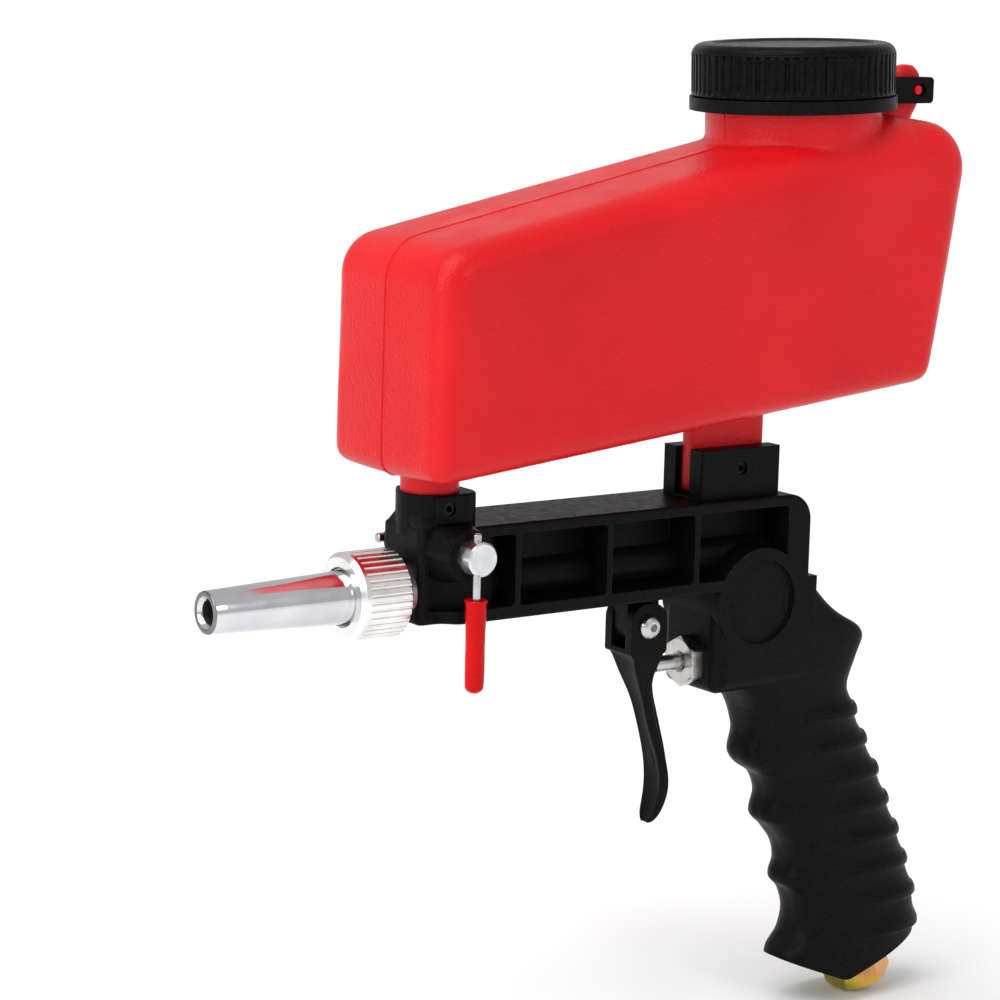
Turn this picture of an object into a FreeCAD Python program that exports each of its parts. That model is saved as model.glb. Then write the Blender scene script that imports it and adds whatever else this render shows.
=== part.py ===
"""Gravity-feed abrasive blasting gun: hopper, moulded pistol body, valves, trigger and nozzle.

Frame: the origin is the centre of the nozzle's outlet, +X runs back along the barrel,
+Y is the side away from the flow lever, and +Z is up.  Everything is in millimetres.
"""
import FreeCAD
import Part
import math
import os

V = FreeCAD.Vector
X_AXIS = V(1, 0, 0)
Y_AXIS = V(0, 1, 0)
Z_AXIS = V(0, 0, 1)

# ---------------------------------------------------------------- driving dimensions

FIT = 0.05                    # radial gap of a running fit

# nozzle, nut and threaded holder, along the barrel
NOZZLE_TIP_R = 6.2
NOZZLE_ROOT_R = 7.9
NOZZLE_BORE_R = 3.3
FUNNEL_X = 36.0
FLANGE_R = 9.7
NUT_R = 13.0
NUT_FRONT_X = 44.4
NUT_REAR_X = 61.5
NUT_HOLE_R = 8.8
NUT_FLUTES = 38
NUT_FLUTE_R = 0.55
FLANGE_FRONT_X = 46.9
FLANGE_REAR_X = 49.7
HOLDER_FRONT_X = 51.2
HOLDER_SHOULDER_X = 62.3
HOLDER_TAIL_X = 70.3
HOLDER_THREAD_R = 10.0
HOLDER_TAIL_R = 7.5
CHAMBER_R = 6.0

# moulded body
FRONT_X = 65.0
BODY_TOP_Z = 19.6
BODY_BOTTOM_Z = -8.9
BODY_REAR_X = 208.9
BODY_HALF = 14.2
FRONT_HALF = 10.1
FLARE_LENGTH = 9.0
POCKET_TOP_Z = 16.4
POCKET_BOTTOM_Z = -5.0
POCKET_FRONT_X = 68.2
POCKET_REAR_X = 199.5
RIB_X = (96.8, 130.3, 163.5)
RIB_THICK = 2.0
WEB_HALF = 1.6
BARREL_R = 6.2
BARREL_BORE_R = 3.0
HUB_X = 189.7
HUB_Z = -13.2
HUB_R = 17.0
DISC_R = 13.3
DISC_DEPTH = 1.3

# hopper socket (front) and hopper bracket (rear)
SPIGOT_X = 74.5
SPIGOT_R = 8.7
SPIGOT_WALL = 2.5
COLLAR_R = 9.9
COLLAR_TOP_Z = 29.0
COLLAR_FLOOR_Z = 21.0
COLLAR_PAD_HALF = 11.0
COLLAR_PAD_FRONT_X = 70.0
COLLAR_PAD_REAR_X = 86.3
BRACKET_FRONT_X = 167.9
BRACKET_REAR_X = 198.8
BRACKET_TOP_Z = 34.8
BRACKET_HALF = 9.75
TONGUE_HALF = 3.45
LOCK_SCREW_R = 2.0
COLLAR_SCREW_Z = 24.9
BRACKET_SCREW_X = 183.7
BRACKET_SCREW_Z = 28.5

# abrasive flow valve
VALVE_X = 76.2
VALVE_Z = 12.5
SHAFT_R = 5.0
SHAFT_NEAR_Y = -26.0
SHAFT_FAR_Y = 19.0
BOSS_FACE_Y = -19.8
BOSS_FACE_R = 7.45
BOSS_BASE_R = 9.6
BOSS_BASE_Y = -9.0
FAR_BOSS_Y = 15.2
PORT_R = 3.5
ROD_Y = -22.6
ROD_R = 1.25
ROD_TOP_Z = 19.6
ROD_BOTTOM_Z = -24.5
SLEEVE_TOP_Z = 0.3
SLEEVE_BOTTOM_Z = -27.2
SLEEVE_R = 3.0
PIN_Y = 17.0
PIN_R = 1.45
PIN_HALF_LENGTH = 8.7
RING_GROOVE_Y = (-9.5, 9.5)

# trigger, its pivot and the air valve
PIVOT_X = 151.9
PIVOT_Z = -18.6
PIVOT_R = 2.0
TONGUE_TIP_R = 6.0
PIVOT_TONGUE_HALF = 3.2
HEAD_HALF = 6.75
HEAD_SLOT_HALF = 3.5
HEAD_FRONT_X = 145.2
HEAD_REAR_X = 158.8
HEAD_BOTTOM_Z = -27.6
HEAD_TOP_R = 7.2
BLADE_DISH = 0.35
AIR_Z = -32.6
HOUSING_X = 173.0
HOUSING_BOTTOM_Z = -41.6
GLAND_FRONT_X = 169.0
GLAND_HEX_AF = 14.0
STEM_R = 2.5
STEM_TIP_X = 158.3
SEAT_X = 186.0
SEAT_LENGTH = 4.0
POPPET_X = 190.2
SPRING_FRONT_X = 194.4
AIR_CHAMBER_END_X = 207.0
AIR_CHAMBER_R = 5.6
GLAND_THREAD_R = 6.0

# grip, measured as level slices down its length
GRIP_TOP_Z = 0.0
GRIP_LOW_Z = -147.0
GRIP_HALF = 14.15
GRIP_WAIST_HALF = 13.2
GRIP_BOTTOM_HALF = 14.0
RIDGE_COUNT = 8
RIDGE_TOP_Z = -54.0
RIDGE_PITCH = 10.75
RIDGE_HEIGHT = 1.5
RIDGE_WIDTH = 3.0

# air inlet at the foot of the grip
INLET_X = 246.6
INLET_Z = -139.6
INLET_TILT = 20.0             # degrees, foot leaning back
INLET_THREAD_R = 6.58
INLET_HEX_AF = 19.0
INLET_HEX_LENGTH = 9.0
INLET_SHANK_R = 8.5
INLET_SHANK_LENGTH = 11.0

# hopper
HOPPER_HALF = 30.5
HOPPER_WALL = 2.4
HOPPER_EDGE_R = 9.0
NECK_X = 206.7
NECK_Z = 130.0
NECK_TILT = -2.2              # degrees about Y, neck leaning forward
NECK_R = 27.1
NECK_THREAD_R = 26.6
NECK_BORE_R = 24.2
NECK_TOP = 24.0               # heights above NECK_Z along the neck
RING_LOW = 8.0
RING_HIGH = 12.0
RING_R = 32.0
RING_BORE_R = 27.5
CAP_LOW = 12.2
CAP_TOP = 28.2
CAP_R = 31.4
CAP_ROOF = 25.6
CAP_RIBS = 56
HINGE_X = 251.9
HINGE_Z = 143.7
HINGE_PIN_R = 1.4


# ---------------------------------------------------------------- shape helpers

def cylinder(radius, start, end):
    """A round bar between two points."""
    line = end - start
    return Part.makeCylinder(radius, line.Length, start, line)


def tube(outer, inner, start, end):
    """A round tube between two points."""
    line = end - start
    bore = Part.makeCylinder(inner, line.Length + 2, start - line.normalize(), line)
    return cylinder(outer, start, end).cut(bore)


def cone(radius_a, radius_b, start, end):
    """A tapered bar between two points."""
    line = end - start
    return Part.makeCone(radius_a, radius_b, line.Length, start, line)


def block(x0, x1, y0, y1, z0, z1):
    """A box given by its limits."""
    return Part.makeBox(x1 - x0, y1 - y0, z1 - z0, V(x0, y0, z0))


def hexagon(across_flats, start, end, flat_normal):
    """A hexagonal bar between two points, with one flat facing flat_normal."""
    axis = (end - start).normalize()
    first = FreeCAD.Rotation(axis, 30).multVec(flat_normal)
    corner_r = across_flats / math.sqrt(3)
    corners = []
    for step in range(7):
        corners.append(start + FreeCAD.Rotation(axis, 60 * step).multVec(first) * corner_r)
    face = Part.Face(Part.makePolygon(corners))
    return face.extrude(end - start)


def rounded_outline(corners):
    """A closed wire through (x, z, radius) corners, each turned by an arc of its radius."""
    count = len(corners)
    runs = []
    for index in range(count):
        before = corners[index - 1]
        here = corners[index]
        after = corners[(index + 1) % count]
        point = V(here[0], 0, here[1])
        back = (V(before[0], 0, before[1]) - point).normalize()
        ahead = (V(after[0], 0, after[1]) - point).normalize()
        half = back.getAngle(ahead) / 2
        if here[2] <= 0:
            runs.append((point, None, point))
            continue
        reach = here[2] / math.tan(half)
        middle_way = (back + ahead).normalize()
        middle = point + middle_way * (here[2] / math.sin(half) - here[2])
        runs.append((point + back * reach, middle, point + ahead * reach))
    edges = []
    for index in range(count):
        start, middle, end = runs[index]
        following = runs[(index + 1) % count][0]
        if middle is not None:
            edges.append(Part.Arc(start, middle, end).toShape())
        if (following - end).Length > 1e-6:
            edges.append(Part.makeLine(end, following))
    return Part.Wire(edges)


def side_slab(corners, half):
    """A side outline in X and Z, extruded both ways in Y."""
    face = Part.Face(rounded_outline(corners))
    face.translate(V(0, -half, 0))
    return face.extrude(V(0, 2 * half, 0))


def turned(profile, origin, axis):
    """A solid of revolution from (distance along, radius) points about an axis."""
    axis = V(axis).normalize()
    across = axis.cross(Y_AXIS)
    if across.Length < 0.1:
        across = axis.cross(X_AXIS)
    across.normalize()
    points = [origin + axis * along + across * radius for along, radius in profile]
    points.append(points[0])
    face = Part.Face(Part.makePolygon(points))
    return face.revolve(origin, axis, 360)


def fused(*shapes):
    """One solid from several that overlap."""
    return shapes[0].multiFuse(list(shapes[1:])).removeSplitter()


def save(name, *solids):
    """Write a node's solid or solids as one STEP file and report its size."""
    shape = solids[0] if len(solids) == 1 else Part.makeCompound(list(solids))
    if shape.ShapeType == "Compound" and len(shape.Solids) == 1:
        shape = shape.Solids[0]
    shape.exportStep(os.path.join("parts", name + ".step"))
    box = shape.BoundBox
    print("%-22s solids %d valid %s volume %.1f size %.1f %.1f %.1f" % (
        name, len(shape.Solids), shape.isValid(), shape.Volume,
        box.XLength, box.YLength, box.ZLength))


# ---------------------------------------------------------------- nozzle end

def nozzle():
    """Tapered steel nozzle with a rear flange, bored through with a funnel inlet."""
    outside = turned([
        (0, 0), (0, NOZZLE_TIP_R - 0.4), (0.4, NOZZLE_TIP_R),
        (FLANGE_FRONT_X, NOZZLE_ROOT_R), (FLANGE_FRONT_X, FLANGE_R),
        (FLANGE_REAR_X, FLANGE_R), (FLANGE_REAR_X, 0)], V(0, 0, 0), X_AXIS)
    bore = turned([
        (-1, 0), (-1, NOZZLE_BORE_R), (FUNNEL_X, NOZZLE_BORE_R),
        (FLANGE_REAR_X + 1, CHAMBER_R), (FLANGE_REAR_X + 1, 0)],
        V(0, 0, 0), X_AXIS)
    return outside.cut(bore)


def nozzle_seal():
    """Flat rubber washer between the nozzle's flange and the holder."""
    return tube(FLANGE_R - 0.3, CHAMBER_R + 0.4, V(FLANGE_REAR_X, 0, 0), V(HOLDER_FRONT_X, 0, 0))


def nozzle_nut():
    """Fluted union nut that pulls the nozzle's flange onto the holder."""
    outside = turned([
        (NUT_FRONT_X, NUT_HOLE_R), (NUT_FRONT_X, NUT_R - 1.4), (NUT_FRONT_X + 1.3, NUT_R),
        (NUT_REAR_X - 0.7, NUT_R), (NUT_REAR_X, NUT_R - 0.7),
        (NUT_REAR_X, HOLDER_THREAD_R + FIT), (FLANGE_FRONT_X, HOLDER_THREAD_R + FIT),
        (FLANGE_FRONT_X, NUT_HOLE_R)], V(0, 0, 0), X_AXIS)
    flutes = []
    for step in range(NUT_FLUTES):
        angle = 2 * math.pi * step / NUT_FLUTES
        y = (NUT_R + 0.12) * math.cos(angle)
        z = (NUT_R + 0.12) * math.sin(angle)
        flutes.append(cylinder(NUT_FLUTE_R, V(NUT_FRONT_X + 2.6, y, z), V(NUT_REAR_X + 1, y, z)))
    return outside.cut(Part.makeCompound(flutes))


def nozzle_holder():
    """Steel insert in the body's nose: outside thread, shoulder and ridged tail."""
    return turned([
        (HOLDER_FRONT_X, CHAMBER_R), (HOLDER_FRONT_X, HOLDER_THREAD_R - 0.6),
        (HOLDER_FRONT_X + 0.6, HOLDER_THREAD_R), (HOLDER_SHOULDER_X, HOLDER_THREAD_R),
        (HOLDER_SHOULDER_X, HOLDER_THREAD_R - 0.9), (FRONT_X, HOLDER_THREAD_R - 0.9),
        (FRONT_X, HOLDER_TAIL_R), (HOLDER_TAIL_X, HOLDER_TAIL_R), (HOLDER_TAIL_X, CHAMBER_R)],
        V(0, 0, 0), X_AXIS)


def air_jet():
    """Brass jet on the barrel axis that blows through the falling abrasive."""
    outside = turned([
        (62.5, 0), (62.5, 1.9), (69.0, 3.1), (84.6, 3.1), (84.6, 4.6), (96.0, 4.6), (96.0, 0)],
        V(0, 0, 0), X_AXIS)
    bore = turned([
        (61.0, 0), (61.0, 1.1), (72.0, 1.1), (80.0, 2.2), (97.0, 2.2), (97.0, 0)],
        V(0, 0, 0), X_AXIS)
    return outside.cut(bore)


# ---------------------------------------------------------------- moulded body

def girder():
    """Barrel beam: flanges, ribs, web and the bored barrel tube."""
    beam = side_slab([
        (FRONT_X, BODY_BOTTOM_Z, 0), (FRONT_X, BODY_TOP_Z, 0),
        (BODY_REAR_X, BODY_TOP_Z, 8.5), (BODY_REAR_X, BODY_BOTTOM_Z, 0)], BODY_HALF)
    plan = Part.Face(nose_plan())
    plan.translate(V(0, 0, -25))
    beam = beam.common(plan.extrude(V(0, 0, 60)))
    beam = beam.makeFillet(1.0, [edge for edge in beam.Edges if is_rim(edge)])
    for side in (-1, 1):
        beam = beam.cut(pockets(side))
    barrel = cylinder(BARREL_R, V(POCKET_FRONT_X - 1, 0, 0), V(POCKET_REAR_X + 1, 0, 0))
    return beam.fuse(barrel)


def is_rim(edge):
    """Whether an edge of the plain beam is one of its long outer rims."""
    box = edge.BoundBox
    on_side = abs(abs(box.YMin) - BODY_HALF) < 1e-3 and box.YLength < 1e-3
    level = box.ZLength < 1e-3 and abs(box.ZMin) > 5
    return on_side or (level and box.XMax < BODY_REAR_X - 20)


def nose_plan():
    """Plan outline of the beam: an arc pair on each side narrows it to the nose."""
    step = BODY_HALF - FRONT_HALF
    swing_r = (FLARE_LENGTH ** 2 + step ** 2) / (4 * step)
    half_angle = math.asin(FLARE_LENGTH / 2 / swing_r) / 2
    start_x = FRONT_X + 5.0
    end_x = start_x + FLARE_LENGTH
    run = swing_r * math.sin(half_angle)
    rise = swing_r * (1 - math.cos(half_angle))
    edges = []
    for side in (-1, 1):
        narrow = side * FRONT_HALF
        wide = side * BODY_HALF
        middle = V(start_x + FLARE_LENGTH / 2, (narrow + wide) / 2, 0)
        edges += [
            Part.Arc(V(FRONT_X, narrow - 2 * side, 0), V(FRONT_X + 0.586, narrow - 0.586 * side, 0),
                     V(FRONT_X + 2, narrow, 0)).toShape(),
            Part.makeLine(V(FRONT_X + 2, narrow, 0), V(start_x, narrow, 0)),
            Part.Arc(V(start_x, narrow, 0), V(start_x + run, narrow + side * rise, 0),
                     middle).toShape(),
            Part.Arc(middle, V(end_x - run, wide - side * rise, 0), V(end_x, wide, 0)).toShape(),
            Part.makeLine(V(end_x, wide, 0), V(BODY_REAR_X + 1, wide, 0))]
    edges.append(Part.makeLine(V(FRONT_X, 2 - FRONT_HALF, 0), V(FRONT_X, FRONT_HALF - 2, 0)))
    edges.append(Part.makeLine(V(BODY_REAR_X + 1, -BODY_HALF, 0), V(BODY_REAR_X + 1, BODY_HALF, 0)))
    return Part.Wire(Part.__sortEdges__(edges))


def pockets(side):
    """The recesses on one side of the web, left between the ribs and around the hub."""
    near = WEB_HALF * side
    far = (BODY_HALF + 5) * side
    y0, y1 = min(near, far), max(near, far)
    ends = [POCKET_FRONT_X]
    for rib in RIB_X:
        ends += [rib - RIB_THICK / 2, rib + RIB_THICK / 2]
    ends.append(POCKET_REAR_X)
    cuts = []
    for index in range(0, len(ends), 2):
        outline = rounded_outline([
            (ends[index], POCKET_BOTTOM_Z, 0.8), (ends[index], POCKET_TOP_Z, 0.8),
            (ends[index + 1], POCKET_TOP_Z, 1.5), (ends[index + 1], POCKET_BOTTOM_Z, 1.5)])
        face = Part.Face(outline)
        face.translate(V(0, y0, 0))
        cuts.append(face.extrude(V(0, y1 - y0, 0)))
    space = cuts[0].multiFuse(cuts[1:])
    hub = cylinder(HUB_R, V(HUB_X, -40, HUB_Z), V(HUB_X, 40, HUB_Z))
    return space.cut(hub)


def front_socket():
    """Collar for the hopper's spigot, with a pad for its lock screw."""
    ring = cylinder(COLLAR_R, V(SPIGOT_X, 0, BODY_TOP_Z - 3), V(SPIGOT_X, 0, COLLAR_TOP_Z))
    flare = cone(12.6, COLLAR_R, V(SPIGOT_X, 0, BODY_TOP_Z - 0.6), V(SPIGOT_X, 0, BODY_TOP_Z + 3.1))
    flare = flare.common(block(FRONT_X + 0.4, 90, -FRONT_HALF, FRONT_HALF, 0, 40))
    pad = Part.Face(pad_plan())
    pad.translate(V(0, 0, BODY_TOP_Z + 1.1))
    pad = pad.extrude(V(0, 0, COLLAR_TOP_Z - BODY_TOP_Z - 1.1))
    rim = [edge for edge in pad.Edges if edge.BoundBox.ZMin > COLLAR_TOP_Z - 0.01]
    pad = pad.makeFillet(0.8, rim)
    foot = block(COLLAR_PAD_FRONT_X + 1, COLLAR_PAD_REAR_X - 2, -9.5, 9.5,
                 BODY_TOP_Z - 2, BODY_TOP_Z + 2)
    return fused(ring, flare, pad, foot)


def pad_plan():
    """Plan outline of the screw pad: square in front, well rounded behind."""
    big = 6.2
    front, rear, half = COLLAR_PAD_FRONT_X, COLLAR_PAD_REAR_X, COLLAR_PAD_HALF
    swing = big * (1 - math.sqrt(0.5))
    return Part.Wire([
        Part.makeLine(V(front, -half, 0), V(rear - big, -half, 0)),
        Part.Arc(V(rear - big, -half, 0), V(rear - swing, swing - half, 0),
                 V(rear, big - half, 0)).toShape(),
        Part.makeLine(V(rear, big - half, 0), V(rear, half - big, 0)),
        Part.Arc(V(rear, half - big, 0), V(rear - swing, half - swing, 0),
                 V(rear - big, half, 0)).toShape(),
        Part.makeLine(V(rear - big, half, 0), V(front, half, 0)),
        Part.makeLine(V(front, half, 0), V(front, -half, 0))])


def valve_bosses():
    """Round bosses that carry the flow valve's shaft on both sides of the nose."""
    near = cone(BOSS_BASE_R, BOSS_FACE_R, V(VALVE_X, BOSS_BASE_Y, VALVE_Z),
                V(VALVE_X, BOSS_FACE_Y, VALVE_Z))
    root = cylinder(BOSS_BASE_R, V(VALVE_X, 0, VALVE_Z), V(VALVE_X, BOSS_BASE_Y, VALVE_Z))
    far = cylinder(BOSS_FACE_R, V(VALVE_X, 0, VALVE_Z), V(VALVE_X, FAR_BOSS_Y, VALVE_Z))
    core = block(FRONT_X + 1, 92.0, -8.0, 8.0, -7.6, BODY_TOP_Z - 1)
    return fused(near, root, far).common(block(60, 100, -30, 30, -10, BODY_TOP_Z + 0.6)), core


def rear_bracket():
    """Slotted upright that takes the hopper's tongue."""
    upright = block(BRACKET_FRONT_X, BRACKET_REAR_X, -BRACKET_HALF, BRACKET_HALF,
                    BODY_TOP_Z - 2, BRACKET_TOP_Z)
    corners = [edge for edge in upright.Edges if edge.BoundBox.ZLength > 5]
    upright = upright.makeFillet(0.8, corners)
    slot = block(BRACKET_FRONT_X - 1, BRACKET_REAR_X + 1, -TONGUE_HALF - 0.1, TONGUE_HALF + 0.1,
                 BODY_TOP_Z + 0.4, BRACKET_TOP_Z + 1)
    return upright.cut(slot)


def pivot_tongue():
    """Tongue under the beam that the trigger's fork straddles."""
    return side_slab([
        (PIVOT_X - TONGUE_TIP_R, BODY_BOTTOM_Z + 1, 0),
        (PIVOT_X + TONGUE_TIP_R, BODY_BOTTOM_Z + 1, 0),
        (PIVOT_X + TONGUE_TIP_R, PIVOT_Z - TONGUE_TIP_R, TONGUE_TIP_R - 0.01),
        (PIVOT_X - TONGUE_TIP_R, PIVOT_Z - TONGUE_TIP_R, TONGUE_TIP_R - 0.01)],
        PIVOT_TONGUE_HALF)


def valve_housing():
    """Block behind the trigger that holds the air valve, and the round hub above it."""
    housing = side_slab([
        (HOUSING_X, BODY_BOTTOM_Z + 2, 0), (212.0, BODY_BOTTOM_Z + 2, 0), (212.0, -30, 0),
        (206.0, HOUSING_BOTTOM_Z, 0), (HOUSING_X, HOUSING_BOTTOM_Z, 3.0)], BODY_HALF)
    front = []
    for edge in housing.Edges:
        box = edge.BoundBox
        upright = box.ZLength > 15 and box.XLength < 0.01 and abs(box.XMin - HOUSING_X) < 0.01
        if upright:
            front.append(edge)
    housing = housing.makeFillet(4.5, front)
    hub = cylinder(HUB_R, V(HUB_X, -BODY_HALF, HUB_Z), V(HUB_X, BODY_HALF, HUB_Z))
    hub = hub.common(block(150, 230, -20, 20, -40, POCKET_TOP_Z))
    return housing, hub


def curve_value(points, z):
    """X at height z on a smooth curve through (x, z) points listed from the top down."""
    for index in range(len(points) - 1):
        x0, z0 = points[index]
        x1, z1 = points[index + 1]
        if z0 >= z >= z1:
            before = points[max(index - 1, 0)]
            after = points[min(index + 2, len(points) - 1)]
            slope0 = (x1 - before[0]) / (z1 - before[1])
            slope1 = (after[0] - x0) / (after[1] - z0)
            span = z1 - z0
            t = (z - z0) / span
            h00 = (1 + 2 * t) * (1 - t) ** 2
            h10 = t * (1 - t) ** 2
            h01 = t * t * (3 - 2 * t)
            h11 = t * t * (t - 1)
            return h00 * x0 + h10 * span * slope0 + h01 * x1 + h11 * span * slope1
    return points[-1][0] if z < points[-1][1] else points[0][0]


GRIP_FRONT = [(184.0, 0.0), (184.0, -30.0), (188.6, -41.0), (193.6, -50.0), (194.9, -58.0),
              (193.4, -65.4), (196.0, -69.3), (201.8, -73.2), (204.9, -80.0), (203.4, -87.4),
              (207.6, -91.6), (212.6, -97.8), (214.2, -104.0), (212.6, -110.0), (216.3, -114.0),
              (218.9, -121.5), (217.2, -129.0), (212.8, -134.6), (212.5, -147.0)]
GRIP_REAR = [(207.8, 0.0), (210.2, -4.0), (214.8, -11.6), (223.6, -19.6), (232.2, -24.6),
             (236.2, -27.4), (236.6, -30.0), (234.0, -38.0), (232.2, -44.4), (233.4, -48.0),
             (241.3, -62.0), (252.4, -84.0), (262.2, -106.0), (267.0, -120.0), (268.4, -131.0),
             (268.4, -147.0)]


def ridge_lift(z):
    """How far the moulded ridges stand out at a height: smooth above, sharp below."""
    lift = 0.0
    for step in range(RIDGE_COUNT):
        centre = RIDGE_TOP_Z - RIDGE_PITCH * step
        distance = z - centre
        reach = RIDGE_WIDTH * (1.9 if distance > 0 else 0.62)
        if abs(distance) < reach:
            lift += 0.5 * (1 + math.cos(math.pi * distance / reach))
    return lift * RIDGE_HEIGHT


def slice_parameters(count):
    """Where each slice point sits along the curve, alike in every slice so the loft stays light."""
    corners = []
    for step in range(count + 1):
        angle = 2 * math.pi * step / count
        c = math.cos(angle)
        s = math.sin(angle)
        corners.append(V(20 * math.copysign(abs(c) ** 0.57, c), 14 * math.copysign(abs(s) ** 0.57, s), 0))
    lengths = [0.0]
    for start, end in zip(corners, corners[1:]):
        lengths.append(lengths[-1] + (end - start).Length)
    return [length / lengths[-1] for length in lengths]


def grip_slice(z):
    """One level slice of the grip as a closed smooth curve."""
    front = curve_value(GRIP_FRONT, z)
    rear = curve_value(GRIP_REAR, z)
    blend = min(max((-z - 24.0) / 34.0, 0.0), 1.0)
    power = 5.5 - 2.9 * blend
    waist = GRIP_HALF + (GRIP_WAIST_HALF - GRIP_HALF) * blend
    low = min(max((-z - 108.0) / 30.0, 0.0), 1.0)
    half = waist + (GRIP_BOTTOM_HALF - GRIP_WAIST_HALF) * low
    centre = (front + rear) / 2
    reach = (rear - front) / 2
    lift = ridge_lift(z)
    points = []
    count = 24
    for step in range(count):
        angle = 2 * math.pi * step / count
        c = math.cos(angle)
        s = math.sin(angle)
        window = min(max((c + 0.16) / 0.24, 0.0), 1.0)
        raised = lift * window * window * (3 - 2 * window)
        x = centre + (reach + raised) * math.copysign(abs(c) ** (2 / power), c)
        y = (half + raised * 0.8) * math.copysign(abs(s) ** (2 / power), s)
        points.append(V(x, y, z))
    curve = Part.BSplineCurve()
    curve.interpolate(Points=points, PeriodicFlag=True, Parameters=slice_parameters(count))
    return Part.Wire(curve.toShape())


def grip():
    """Hand grip: finger grooves in front, ridges behind, beavertail above, cut foot."""
    heights = [GRIP_TOP_Z, -6.0, -12.0, -18.0, -23.0, -26.5, -29.0, -33.0, -38.0, -42.5, -46.0]
    z = -48.2
    while z > GRIP_LOW_Z:
        heights.append(z)
        z -= RIDGE_PITCH / 6
    heights.append(GRIP_LOW_Z)
    body = Part.makeLoft([grip_slice(z) for z in heights], True, False)
    foot = side_slab([
        (190, -20, 0), (290, -20, 0), (290, -122.5, 0), (268.5, -131.5, 5.0),
        (233.0, -143.6, 6.0), (212.0, -135.4, 1.5), (190, -130, 0)], 30)
    lower = block(180, 290, -30, 30, GRIP_LOW_Z - 1, -50)
    upper = body.cut(lower)
    return fused(upper, body.common(lower).common(foot))


def inlet_axis():
    """Unit vector down the grip, the way the air inlet points."""
    tilt = math.radians(INLET_TILT)
    return V(math.sin(tilt), 0, -math.cos(tilt))


def inlet_base():
    """Point on the inlet's axis where its hexagon meets the grip's foot."""
    return V(INLET_X, 0, INLET_Z)


def body_bores():
    """Everything bored or moulded out of the body."""
    down = inlet_axis()
    base = inlet_base()
    chamber_top = V(201.0, 0, AIR_Z - 2)
    shank_end = base - down * (INLET_SHANK_LENGTH + 0.4)
    return [
        cylinder(CHAMBER_R, V(60, 0, 0), V(84.6, 0, 0)),
        cylinder(HOLDER_TAIL_R, V(60, 0, 0), V(HOLDER_TAIL_X, 0, 0)),
        cylinder(4.6, V(80, 0, 0), V(96.0, 0, 0)),
        cylinder(BARREL_BORE_R, V(90, 0, 0), V(186.2, 0, 0)),
        cylinder(PORT_R, V(VALVE_X, 0, 0), V(VALVE_X, 0, COLLAR_FLOOR_Z + 1)),
        cylinder(SHAFT_R + FIT, V(VALVE_X, -40, VALVE_Z), V(VALVE_X, 40, VALVE_Z)),
        cylinder(SPIGOT_R + FIT, V(SPIGOT_X, 0, COLLAR_FLOOR_Z), V(SPIGOT_X, 0, 60)),
        cylinder(LOCK_SCREW_R, V(SPIGOT_X, -20, COLLAR_SCREW_Z), V(SPIGOT_X, -5, COLLAR_SCREW_Z)),
        cylinder(LOCK_SCREW_R, V(BRACKET_SCREW_X, -20, BRACKET_SCREW_Z),
                 V(BRACKET_SCREW_X, 6.2, BRACKET_SCREW_Z)),
        cylinder(PIVOT_R + FIT, V(PIVOT_X, -20, PIVOT_Z), V(PIVOT_X, 20, PIVOT_Z)),
        cylinder(GLAND_THREAD_R, V(HOUSING_X - 5, 0, AIR_Z), V(180.6, 0, AIR_Z)),
        cylinder(AIR_CHAMBER_R, V(180, 0, AIR_Z), V(AIR_CHAMBER_END_X, 0, AIR_Z)),
        cylinder(2.6, V(183.3, 0, AIR_Z), V(183.3, 0, 0)),
        cylinder(3.6, chamber_top, shank_end - down * 1.0),
        cylinder(INLET_SHANK_R, shank_end, base + down * 30),
        cylinder(DISC_R, V(HUB_X, -BODY_HALF + DISC_DEPTH, HUB_Z), V(HUB_X, -40, HUB_Z)),
        cylinder(DISC_R, V(HUB_X, BODY_HALF - DISC_DEPTH, HUB_Z), V(HUB_X, 40, HUB_Z)),
    ]


def pistol_body():
    """The one-piece glass-filled nylon moulding."""
    bosses, core = valve_bosses()
    housing, hub = valve_housing()
    solid = girder().multiFuse([
        core, bosses, front_socket(), rear_bracket(), pivot_tongue(), housing, hub, grip()])
    for bore in body_bores():
        solid = solid.cut(bore)
    return solid


# ---------------------------------------------------------------- flow valve

def flow_shaft():
    """Aluminium valve shaft with its cross port, ring grooves and rod holes."""
    shaft = turned([
        (SHAFT_NEAR_Y, 0), (SHAFT_NEAR_Y, SHAFT_R - 0.5), (SHAFT_NEAR_Y + 0.5, SHAFT_R),
        (SHAFT_FAR_Y - 0.5, SHAFT_R), (SHAFT_FAR_Y, SHAFT_R - 0.5), (SHAFT_FAR_Y, 0)],
        V(VALVE_X, 0, VALVE_Z), Y_AXIS)
    shaft = shaft.cut(cylinder(PORT_R, V(VALVE_X, 0, VALVE_Z - 9), V(VALVE_X, 0, VALVE_Z + 9)))
    for y in RING_GROOVE_Y:
        groove = tube(SHAFT_R + 1, 3.6, V(VALVE_X, y - 0.9, VALVE_Z), V(VALVE_X, y + 0.9, VALVE_Z))
        shaft = shaft.cut(groove)
    shaft = shaft.cut(cylinder(ROD_R, V(VALVE_X, ROD_Y, VALVE_Z - 9), V(VALVE_X, ROD_Y, VALVE_Z + 9)))
    return shaft.cut(cylinder(PIN_R, V(VALVE_X - 9, PIN_Y, VALVE_Z), V(VALVE_X + 9, PIN_Y, VALVE_Z)))


def shaft_seals():
    """Two rubber rings that keep abrasive out of the shaft's bearings."""
    return [Part.makeTorus(4.33, 0.69, V(VALVE_X, y, VALVE_Z), Y_AXIS) for y in RING_GROOVE_Y]


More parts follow.
